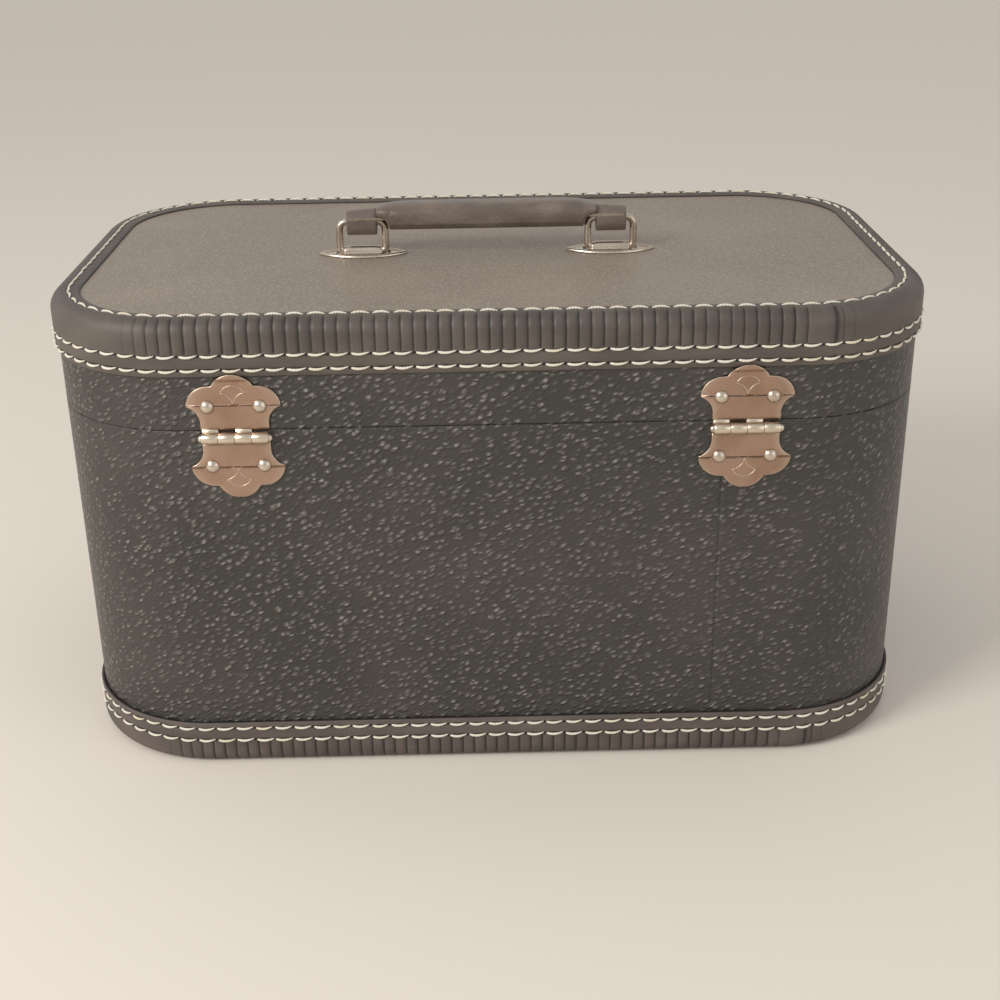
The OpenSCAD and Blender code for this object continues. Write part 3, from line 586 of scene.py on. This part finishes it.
def stitch_rows(name, node, body, rows, upside, seed):
    """Each stitch is a tube of 8 rings of 6 points, whose middle line is an arch out of the surface
    and a sag along it. rows gives a row's inset, height, direction of the surface and corner radius."""
    chance = np.random.default_rng(seed)
    way = -1 if upside else 1
    sides, rings = 6, 8
    t = np.linspace(0, 1, rings)[None, :]
    around = np.arange(sides) * 2 * math.pi / sides
    points, shades = [], []
    for inset, height, lean, radius, count in rows:
        pitch = plan_length(radius) / count
        first = np.arange(count)[:, None] + stitch_start + chance.normal(0, 0.012, (count, 1))
        length = stitch_share + chance.normal(0, 0.02, (count, 1))
        distance = first * pitch + pitch * length * t
        sag = -stitch_sag * np.sin(math.pi * t) + stitch_drift * t ** 2
        sag = sag + chance.normal(0, 0.08, (count, 1))
        rise = -stitch_sunk + stitch_rise * np.sin(math.pi * np.clip(t, 0.02, 0.98)) ** 0.4
        thick = thread_r * np.interp(t, [0, 0.12, 0.6, 1], [0.62, 1, 0.95, 0.45])[:, :, None]
        out = rise[:, :, None] + thick * np.cos(around)
        side = sag[:, :, None] + thick * np.sin(around)
        full_inset = inset - out * math.cos(lean) - side * math.sin(lean)
        full_height = case_h - height if upside else height
        full_height = full_height - way * out * math.sin(lean) + side * math.cos(lean)
        points.append(plan_points(distance[:, :, None], full_inset, full_height, radius))
        shades.append(np.repeat(chance.beta(1.2, 3.5, count), rings * sides))
    points = np.concatenate([p.reshape(-1, 3) for p in points])
    count = len(points) // (rings * sides)
    start = (np.arange(count) * rings * sides)[:, None, None]
    walls = (grid_faces(rings, sides, join_columns=True)[None] + start).reshape(-1, 4)
    cap = np.arange(sides)[None, None, :]
    caps = np.concatenate([(cap + start)[:, :, ::-1], cap + start + (rings - 1) * sides]).reshape(-1, sides)
    ring_u = np.linspace(0, 7.2, rings) * MM
    side_v = np.arange(sides + 1) * MM
    j, i = np.meshgrid(np.arange(rings - 1), np.arange(sides), indexing="ij")
    one = np.stack([np.stack([ring_u[j + q], side_v[i + p]], -1) for p, q in quad_corners], 2)
    wall_uv = np.tile(one.reshape(-1, 4, 2), (count, 1, 1))
    cap_uv = np.zeros((2 * count, sides, 2))
    piece = new_piece(name, points, [walls, caps], thread, [wall_uv, cap_uv],
                      {"shade": np.concatenate(shades)})
    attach(piece, body)
    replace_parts(piece, node)


flange_x = flange_w - flange_row
flange_turns = 121
for name, node, body, band_h, row, thin, upside, seed in (
        ("lid_edge_stitches", "lid_stitching", "lid", lid_band, lid_row, lid_thin, True, 3),
        ("base_edge_stitches", "base_stitching", "base", base_band, base_row, base_thin, False, 4)):
    flange_z = thin * (flange_x - edge_r) / (flange_w - edge_r)
    stitch_rows(name, node, body, (
        (0, band_h - row, 0, corner_r, stitch_count),
        (0, band_h - row - row_gap, 0, corner_r, stitch_count),
        (flange_x, flange_z, math.pi / 2, corner_r - flange_x, flange_turns)), upside, seed)


# Linings. Brown felted paper glued inside both halves, and over the collar
# that stands up inside the base for the lid to close on.
def lining_finish():
    finish = Finish("lining_paper", Roughness=0.92)
    fibres = finish.noise(finish.place("Object"), 1.6, 5, 0.65)
    clouds = finish.noise(finish.place("Object", (45, 45, 45)), 1, 3)
    tone = finish.mix(fibres.between(0.35, 0.65), (0.17, 0.125, 0.085), (0.27, 0.205, 0.145))
    finish.set(Base_Color=finish.mix(clouds.between(0.4, 0.75) * 0.4, tone, (0.33, 0.27, 0.20)))
    finish.bump(fibres, 0.12)
    return finish


dress(lining_finish(), "base_lining", "lid_lining", "collar")


# Hinges. Two hinges pressed from steel sheet and bronzed, with knuckles rolled
# round a pin and worn bright. Each leaf carries a pressed fan and two rivets.
def metal_finish(name, tone, stain, roughness, bright=None):
    """Sheet metal with slow stains and fine grime. Where the attribute for worn and highlit places
    rises to 1, the bright tone shows: worn bright metal, and painted highlight."""
    finish = Finish(name, Metallic=1.0)
    place = finish.place("Object")
    stains = finish.noise(finish.place("Object", (16, 16, 16)), 1, 4)
    grime = finish.noise(place, 1.3, 5, 0.7)
    colour = finish.mix(stains.between(0.38, 0.72), tone, stain)
    if bright:
        polish_and_highlight = finish.node("Attribute", {"attribute_name": "polish_and_highlight"}, {}, "Fac")
        colour = finish.mix(polish_and_highlight, colour, bright)
        roughness = roughness - 0.12 * polish_and_highlight
    colour = finish.mix(grime.between(0.50, 0.80) * 0.45, colour, [c * 0.42 for c in tone])
    finish.set(Base_Color=colour, Roughness=roughness + 0.16 * grime)
    finish.bump(grime * 0.6 + stains * 0.4, 0.10)
    return finish


nickel = metal_finish("worn_nickel", (0.66, 0.58, 0.49), (0.52, 0.43, 0.34), 0.20)
bronzed = metal_finish("bronzed_steel", (0.44, 0.295, 0.225), (0.36, 0.235, 0.165), 0.36,
                       (0.70, 0.61, 0.49))
axis_low, axis_high = corners("hinge_pin_right")
hinge_x, hinge_y, hinge_z = (axis_low + axis_high) / 2
face_y = corners("lid_cover")[1][1]
leaf_t, leaf_tip = 0.8, 26.7
neck_half = 13.8
flank_r, flank_z, flank_angle = 7.3, 5.8, 107
ear_x, ear_z, ear_r = 10, 12.4, 9.1
lobe_r = 9.4
knuckle_w = 27
knuckle_l = knuckle_w / 4
roll_r = 1.9
tip_lift, lift_from, lift_over = 1.32, 22.9, 2.1
bead_r, bead_sunk = 0.27, 0.08


def joined(shells):
    """Points and faces of several closed shells as one set, with each shell facing outwards."""
    points, faces, start = [], [], 0
    for spots, groups in shells:
        if volume(spots, groups) < 0:
            groups = [group[:, ::-1] for group in groups]
        faces += [group + start for group in groups]
        points.append(spots)
        start += len(spots)
    return np.concatenate(points), faces


def lofted(rows, join=False):
    """Shell through closed loops of points, one loop to a row, capped at both ends or joined."""
    count, sides = rows.shape[:2]
    groups = [grid_faces(count, sides, join, True)]
    if not join:
        last = (count - 1) * sides
        groups.append(np.stack([np.arange(sides)[::-1], np.arange(sides) + last]))
    return rows.reshape(-1, 3), groups


def bar(path, radius, across, sides=12, join=False):
    """Round bar along a path in the plane square to across. Each ring lies square to the path."""
    path = np.asarray(path, float)
    step = np.roll(path, -1, 0) - np.roll(path, 1, 0) if join else np.gradient(path, axis=0)
    out = np.cross(step / np.linalg.norm(step, axis=1)[:, None], across)
    turn = np.arange(sides) * 2 * math.pi / sides
    ring = np.cos(turn)[:, None] * out[:, None] + np.sin(turn)[:, None] * np.array(across)
    radius = np.broadcast_to(radius, len(path))[:, None, None]
    return lofted(path[:, None] + radius * ring, join)


def turned(outline, spots, axis, sides=24):
    """A turned shape at each spot. outline lists radii and heights along the axis, and its first
    and last points are the poles."""
    spots, axis = np.asarray(spots, float), np.array(axis, float)
    side = np.cross(axis, (0, 0, 1) if abs(axis[2]) < 0.5 else (1, 0, 0))
    turn = np.arange(sides) * 2 * math.pi / sides
    ring = np.cos(turn)[:, None] * side + np.sin(turn)[:, None] * np.cross(axis, side)
    outline = np.array(outline, float)
    rings = outline[1:-1, 0, None, None] * ring + outline[1:-1, 1, None, None] * axis
    poles = outline[[0, -1], 1, None] * axis
    one = np.concatenate([rings.reshape(-1, 3), poles])
    walls = grid_faces(len(outline) - 2, sides, join_columns=True)
    k, last = np.arange(sides), (len(outline) - 3) * sides
    south = np.stack([(k + 1) % sides, k, np.full(sides, last + sides)], 1)
    north = np.stack([last + k, last + (k + 1) % sides, np.full(sides, last + sides + 1)], 1)
    start = (np.arange(len(spots)) * len(one))[:, None, None]
    groups = [(walls + start).reshape(-1, 4), (np.concatenate([south, north]) + start).reshape(-1, 3)]
    return (spots[:, None] + one).reshape(-1, 3), groups


def arc(x, y, radius, start, end, count):
    """Points on an arc round (x, y) between two angles in degrees."""
    angle = np.radians(np.linspace(start, end, count))
    return np.column_stack([x + radius * np.cos(angle), y + radius * np.sin(angle)])


def leaf_plate(tipped):
    """Sheet of a leaf. Rows follow half of the outline up from the knuckles, and each row crosses
    the leaf from edge to edge and returns behind it. The last of it is lifted over the binding."""
    line = np.concatenate([
        [[neck_half, 2.6], [neck_half, 4.2]],
        arc(neck_half + flank_r, flank_z, flank_r, 180, flank_angle, 9),
        arc(ear_x, ear_z, ear_r, 4, 90, 12),
        arc(0, leaf_tip - lobe_r, lobe_r, 27, 87, 14)])
    step = np.gradient(line, axis=0)
    normal = np.column_stack([step[:, 1], -step[:, 0]]) / np.linalg.norm(step, axis=1)[:, None]
    sunk = np.array([0, 0, 0.12, 0.42])
    depth = np.array([0, leaf_t - 0.34, leaf_t - 0.10, leaf_t])
    rim = line[:, None] - sunk[None, :, None] * normal[:, None]
    share = np.array([0.8, 0.6, 0.4, 0.2, 0])
    inner = rim[:, -1:] * np.stack([share, np.ones(5)], -1)
    half = np.concatenate([rim, inner], 1)
    across = np.concatenate([half, half[:, -2::-1] * (-1, 1), [[0, 1]] * half[:, :1]], 1)
    depth = np.concatenate([depth, np.full(5, leaf_t), np.full(4, leaf_t), depth[::-1], [0]])
    lift = np.clip((across[:, :, 1] - lift_from) / lift_over, 0, 1)
    lift = tip_lift * lift ** 2 * (3 - 2 * lift) * tipped
    return lofted(np.stack([across[:, :, 0], depth + lift, across[:, :, 1]], -1))


def knuckle(start):
    """A tongue of the sheet rolled nearly once round the pin: the middle line of the sheet runs
    down behind the pin and round it, and the sheet lies half to each side of that line."""
    roll = arc(hinge_y - face_y, 0, roll_r, 180, 488, 24)
    line = np.concatenate([[[0.4, 3.3], [0.42, 1.4]], roll])
    step = np.gradient(line, axis=0)
    normal = np.column_stack([-step[:, 1], step[:, 0]]) / np.linalg.norm(step, axis=1)[:, None]
    rows = []
    for x, thick in ((0.05, 0.26), (0.2, 0.4), (knuckle_l - 0.2, 0.4), (knuckle_l - 0.05, 0.26)):
        loop = np.concatenate([line + thick * normal, (line - thick * normal)[::-1]])
        rows.append(np.insert(loop, 0, start + x, axis=1))
    points, groups = lofted(np.array(rows))
    count = len(line)
    k = np.arange(count - 1)
    cap = np.stack([k, k + 1, 2 * count - 2 - k, 2 * count - 1 - k], 1)
    return points, [groups[0], cap[:, ::-1], cap + 3 * 2 * count]


def fan():
    """Three raised lines of the pressed fan, as bars half sunk in the leaf."""
    lines = (arc(0, 16.4, 5.27, 155, 25, 17), arc(5.6, 13.0, 5.66, 98.1, 171.9, 11),
             arc(-5.6, 13.0, 5.66, 81.9, 8.1, 11))
    height = leaf_t - bead_sunk
    return [bar(np.insert(line, 1, height, axis=1), bead_r, (0, 1, 0), 8) for line in lines]


for side, hinge_name in ((1, "right"), (-1, "left")):
    for way, leaf_name, body in ((1, "upper", "lid"), (-1, "lower", "base")):
        shells = [leaf_plate(way > 0)] + fan()
        shells += [knuckle(k * knuckle_l - knuckle_w / 2) for k in (1, 3)]
        points, faces = joined(shells)
        flats = len(shells[0][0])
        beads = sum(len(shell[0]) for shell in shells[1:4])
        # Bright tone: painted highlight on the fan's lines and on each leaf's rounded rim, and worn bright
        # metal on the knuckles.
        polish_and_highlight = np.repeat([0, 0.55, 1], [flats, beads, len(points) - flats - beads])
        painted_highlight = np.r_[0, 0.35, 0.5, 0.25, np.zeros(9), 0.25, 0.5, 0.35, 0, 0]
        polish_and_highlight[:flats] = np.tile(painted_highlight, flats // len(painted_highlight))
        placed = points * (way, 1, way) + (side * hinge_x, face_y, hinge_z)
        leaf = new_piece(f"bronzed_{leaf_name}_leaf_{hinge_name}", placed, faces, bronzed,
                         shades={"polish_and_highlight": polish_and_highlight})
        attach(leaf, body)
        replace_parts(leaf, f"hinge_{leaf_name}_leaf_{hinge_name}")


def dome(radius, height, base, shank):
    """Outline of a rivet: shank, flat underside of the head and a dome that is part of a ball."""
    ball = (radius ** 2 + height ** 2) / (2 * height)
    spread = math.degrees(math.asin(radius / ball))
    cap = arc(0, base + height - ball, ball, 90 - spread, 87, 9)
    return np.concatenate([[[0, -shank], [1.3, -shank], [1.3, base - 0.05], [radius - 0.1, base - 0.05]],
                           cap, [[0, base + height]]])


rivet_x, rivet_z = 10.5, 12.8
shank = cover_t + board_t
for way, body in ((1, "lid"), (-1, "base")):
    spots = [(side * hinge_x + x, face_y, hinge_z + way * rivet_z)
             for side in (1, -1) for x in (rivet_x, -rivet_x)]
    domed = dome(2.9, 1.7, leaf_t, shank)
    points, faces = turned(domed, spots, (0, 1, 0), 28)
    heads = new_piece(f"leaf_rivets_{body}", points, faces, nickel)
    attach(heads, body)
    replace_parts(heads, f"hinge_rivets_{body}")


# Handle fittings. Two stamped oval plates with a raised rim, and between their
# middles a loaf that holds the bail's lower bar. Prongs hold them through the lid.
bail_x = 56
plate_low, plate_high = corners("handle_plate_left")
handle_y = (plate_low[1] + plate_high[1]) / 2
top_z = corners("top_cover")[1][2]
plate_l, plate_w, plate_t = 41, 17.5, 0.7
tip_x = plate_l / 2 - 0.6
bail_half, bail_h, wire_r = 10.3, 13.2, 1.6
bar_z = top_z + wire_r + 0.05


def plate_points():
    """Stamped plate between two arcs. Rows run from tip to tip and cross the plate in points of
    fixed distance from its edge, then of fixed distance from its middle. The height over them is
    a rounded rim, the loaf's half oval, and slots that the legs swing in."""
    arc_r = (plate_l ** 2 + plate_w ** 2) / (4 * plate_w)
    arc_y = arc_r - plate_w / 2
    rim_in = 1.7
    marks = np.array([0, 1.6, 3.2, 4.8, 6.4, 7.6, 8.1, 8.38, 8.42, 9.4, 10.3, 11.2, 12.18, 12.22, 13.2,
                      14.2, 15.2, 16.2, 17.0, 17.6, 18.0])
    swing = np.arcsin(marks / (arc_r - rim_in))
    end = math.asin(tip_x / arc_r)
    swing = np.concatenate([swing, np.linspace(swing[-1], end, 5)[1:]])
    swing = np.concatenate([-swing[:0:-1], swing])[:, None]
    sunk = np.array([0, 0, 0.12, 0.35, 0.7, 1.05, 1.3, 1.5, rim_in])
    limit = arc_r - arc_y / np.cos(swing)
    sunk = np.minimum(sunk, np.maximum(limit, 0.03) * (1 - 0.04 * np.arange(9)[::-1]))
    rim_x = (arc_r - sunk) * np.sin(swing)
    rim_y = (arc_r - sunk) * np.cos(swing) - arc_y
    rows = np.array([4.0, 3.32, 3.28, 2.37, 2.33, 2.1, 1.6, 0.8, 0])
    core_y = rows * np.minimum(1, np.maximum(rim_y[:, -1:], 0.01) * 0.98 / rows[0])
    core_x = np.repeat(rim_x[:, -1:], len(rows), 1)
    x = np.concatenate([rim_x, core_x], 1)
    y = np.concatenate([rim_y, core_y], 1)
    x = np.clip(x, -tip_x, tip_x)
    edge = np.concatenate([sunk, np.full(core_x.shape, rim_in)], 1)
    edge = np.minimum(edge, tip_x - abs(x) + 0.15)
    edge[:, 0] = 0
    height = plate_t + 0.6 * np.sin(math.pi * np.clip(edge / rim_in, 0, 1)) ** 0.7
    height = np.minimum(height, 0.45 + 3.5 * edge)
    in_slot = (abs(abs(x) - bail_half) < 1.9) & (y < 3.3)
    height = np.where(in_slot, 0.05, height)
    oval = np.sqrt(np.clip(1 - (y / 2.36) ** 2, 0, 1)) * (1 - 0.22 * np.clip(abs(x) / 8.4, 0, 1) ** 8)
    height = np.where((abs(x) < 8.4) & (y < 2.36), 0.9 + 3.1 * oval ** 0.8, height)
    height[:, 0] = 0
    half = np.stack([x, y, height], -1)
    back = np.stack([x[:, -1], 0 * x[:, -1], 0 * x[:, -1]], -1)[:, None]
    return np.concatenate([half, half[:, -2::-1] * (1, -1, 1), back], 1)


for side, side_name in ((1, "right"), (-1, "left")):
    points, faces = lofted(plate_points() + (side * bail_x, handle_y, top_z))
    plate = new_piece(f"stamped_plate_{side_name}", points, faces, nickel)
    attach(plate, "lid")
    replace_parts(plate, f"handle_plate_{side_name}")


# Bails. Closed loops of nickelled wire that swing in the plates and carry the handle.
bend_r, foot_r = 3.4, 1.7
loop = np.concatenate([
    arc(bail_half - foot_r, foot_r, foot_r, -90, 0, 7),
    arc(bail_half - bend_r, bail_h - bend_r, bend_r, 0, 90, 10),
    arc(bend_r - bail_half, bail_h - bend_r, bend_r, 90, 180, 10),
    arc(foot_r - bail_half, foot_r, foot_r, 180, 270, 7)])
for side, side_name in ((1, "right"), (-1, "left")):
    path = np.insert(loop, 1, 0, axis=1) + (side * bail_x, handle_y, bar_z)
    points, faces = bar(path, wire_r, (0, 1, 0), 20, True)
    bail = new_piece(f"wire_bail_{side_name}", points, faces, nickel)
    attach(bail, f"bail_{side_name}")
    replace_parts(bail, f"bail_{side_name}")


# Grip and loops. Taupe vinyl padded over a steel strip, whose rolled ends turn
# on the bails. The vinyl loops round them are pressed flat behind.
def vinyl_finish(name, low, high, roughness):
    """Fine pored vinyl, darker and greasier in patches."""
    finish = Finish(name)
    place = finish.place("Object")
    pores = finish.node("TexVoronoi", {"feature": "F1"}, {"Vector": place, "Scale": 1.6})
    patches = finish.noise(finish.place("Object", (18, 9, 9)), 1, 4)
    tone = finish.mix(patches.between(0.35, 0.7), low, high)
    # The low parts of the grain are painted darker, a painted shade.
    tone = finish.mix(pores.between(0.45, 0.8) * 0.35, tone, [c * 0.55 for c in low])
    finish.set(Base_Color=tone, Roughness=roughness + 0.2 * patches)
    finish.bump(1 - pores + 0.4 * patches, 0.10)
    return finish


grip_vinyl = vinyl_finish("grip_vinyl", (0.135, 0.105, 0.084), (0.215, 0.168, 0.136), 0.20)
loop_vinyl = vinyl_finish("loop_vinyl", (0.145, 0.112, 0.094), (0.205, 0.160, 0.134), 0.36)
upper_z = bar_z + bail_h
tab_w, tab_r, tab_up, tab_down = 13.4, 4.5, 5.4, 6
tab_in = bail_x - tab_w / 2
loop_grow = 0.55
grip_half, grip_up, grip_down, grip_end = 8.5, 8.8, 3.4, 1.2


def loop_shell(side):
    """A loop's section is two half rounds joined by flats. It is swept along the bar, drawn in
    at both ends, and grows a little toward the grip."""
    across = np.array([-6.7, -6.62, -6.4, -6.0, -4, -2, 0, 2, 4, 6.0, 6.4, 6.62, 6.7])
    sunk = np.interp(abs(across), [6.0, 6.4, 6.62, 6.7], [0, 0.07, 0.22, 0.45])
    grow = np.clip(-across / 6.7, -1, 1)[:, None, None]
    turn = np.linspace(0, math.pi, 15)
    top = np.column_stack([np.cos(turn), np.sin(turn)])
    radius = tab_r - sunk[:, None, None]
    upper = radius * top + (0, tab_up - tab_r)
    lower = radius * -top + (0, tab_r - tab_down)
    upper = upper + np.array([0, loop_grow]) * top * grow
    section = np.concatenate([upper, lower], 1)
    x = np.broadcast_to(side * (across[:, None] + bail_x), section.shape[:2])
    return lofted(np.stack([x, section[:, :, 0], section[:, :, 1]], -1) + (0, handle_y, upper_z))


mark_x, mark_z = 0.1, 0.4
oval = arc(0, 0, 1, 0, 345, 24) * (1.95, 1.25) + (mark_x, mark_z)
oval = np.insert(oval, 1, tab_r - 0.02, axis=1) + (bail_x, handle_y, upper_z)
mark = bar(oval, 0.24, (0, 1, 0), 8, True)
points, faces = joined([loop_shell(1), loop_shell(-1), mark])
loops = new_piece("handle_loops", points, faces, loop_vinyl)
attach(loops, "handle")
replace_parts(loops, "handle_tabs")


def grip_shell():
    """Half width, top and underside are functions of the distance from the middle, and each
    section is a superellipse between them, with a sewn edge pressed in low on both sides."""
    exponent = 2.6
    along = np.sort(np.concatenate([np.linspace(-38, 38, 39), *[s * np.array(
        [39, 40, 41, 42, 42.8, 43.4, 43.8, 44.3, 45, 46, 47, 48, 48.6, 49, 49.2]) for s in (-1, 1)]]))
    far = abs(along)
    taper = (far / tab_in) ** 9
    half = grip_half - (grip_half - tab_r - grip_end) * taper
    top = grip_up - (grip_up - tab_up - grip_end) * taper
    arch_x, arch_r = bail_x - bail_half + bend_r, bend_r + wire_r + 0.6
    under = np.maximum(-grip_down, np.sqrt(np.maximum(0, arch_r ** 2 - (arch_x - far) ** 2)) - bend_r)
    end = np.interp(far, [48.6, 49, 49.2], [0, 0.12, 0.5])
    turn = np.arange(64) * 2 * math.pi / 64
    c, s = np.cos(turn), np.sin(turn)
    round_off = (abs(c) ** exponent + abs(s) ** exponent) ** (-1 / exponent)
    far_seam, near_seam = (abs(np.degrees(turn) - at) for at in (212, 328))
    seam = np.where(s < 0, np.minimum(far_seam, near_seam), 90)
    groove = 0.28 * np.exp(-(seam / 2.2) ** 2) - 0.16 * np.exp(-((seam - 7) / 4) ** 2)
    sway = 0.10 * np.sin(along / 9.3 + 1) + 0.07 * np.sin(along / 4.1)
    reach = (1 - groove / 6)[None, :] * round_off
    y = (half - end + 0.4 * sway)[:, None] * reach * c
    z = ((top + under) / 2)[:, None] + ((top - under) / 2 - end)[:, None] * reach * s
    x = np.broadcast_to(along[:, None], y.shape)
    return lofted(np.stack([x, y, z], -1) + (0, handle_y, upper_z))


points, faces = grip_shell()
grip = new_piece("padded_grip", points, faces, grip_vinyl)
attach(grip, "handle")
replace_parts(grip, "handle_grip")


# Latches, strip and backing plates. Pressed and nickelled steel: on the base a
# lock plate with its housing and sliding bolt, on the lid a strike plate with
# its tongue. Their sheared edges are rounded over.
def softened(node, body, width):
    """A node's own mesh, with its doubles merged and its flat faces whole, and rounded edges."""
    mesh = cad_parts[node].data.copy()
    shape = bmesh.new()
    shape.from_mesh(mesh)
    bmesh.ops.remove_doubles(shape, verts=shape.verts, dist=2e-6)
    bmesh.ops.dissolve_limit(shape, angle_limit=math.radians(1), verts=shape.verts,
                             edges=shape.edges)
    shape.to_mesh(mesh)
    shape.free()
    mesh.materials.clear()
    mesh.materials.append(nickel.material)
    piece = bpy.data.objects.new("rounded_" + node, mesh)
    bpy.context.scene.collection.objects.link(piece)
    rounding = piece.modifiers.new("sheared edges", "BEVEL")
    rounding.width = width * MM
    rounding.segments = 2
    rounding.limit_method = "ANGLE"
    rounding.angle_limit = math.radians(35)
    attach(piece, body)
    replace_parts(piece, node)


for side_name in ("left", "right"):
    softened(f"latch_housing_{side_name}", "base", 0.3)
    softened(f"latch_slide_{side_name}", f"slide_{side_name}", 0.3)
    softened(f"latch_strike_{side_name}", "lid", 0.25)
dress(nickel, "hinge_pin_left", "hinge_pin_right", "handle_core", "handle_backing_plates")

latch_x = 95
lock_t = 0.8
front_y = corners("lid_cover")[0][1]
latch_spots = {"base": [(x, z) for x in (-15, 15) for z in (-4.8, -28.8)],
               "lid": [(x, 12) for x in (-10.8, 10.8)]}
for body, places in latch_spots.items():
    spots = [(side * latch_x + x, front_y, part_z + z) for side in (1, -1) for x, z in places]
    points, faces = turned(dome(2.1, 1.3, lock_t, shank), spots, (0, -1, 0), 24)
    heads = new_piece(f"latch_plate_rivets_{body}", points, faces, nickel)
    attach(heads, body)
    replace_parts(heads, f"latch_rivets_{body}")
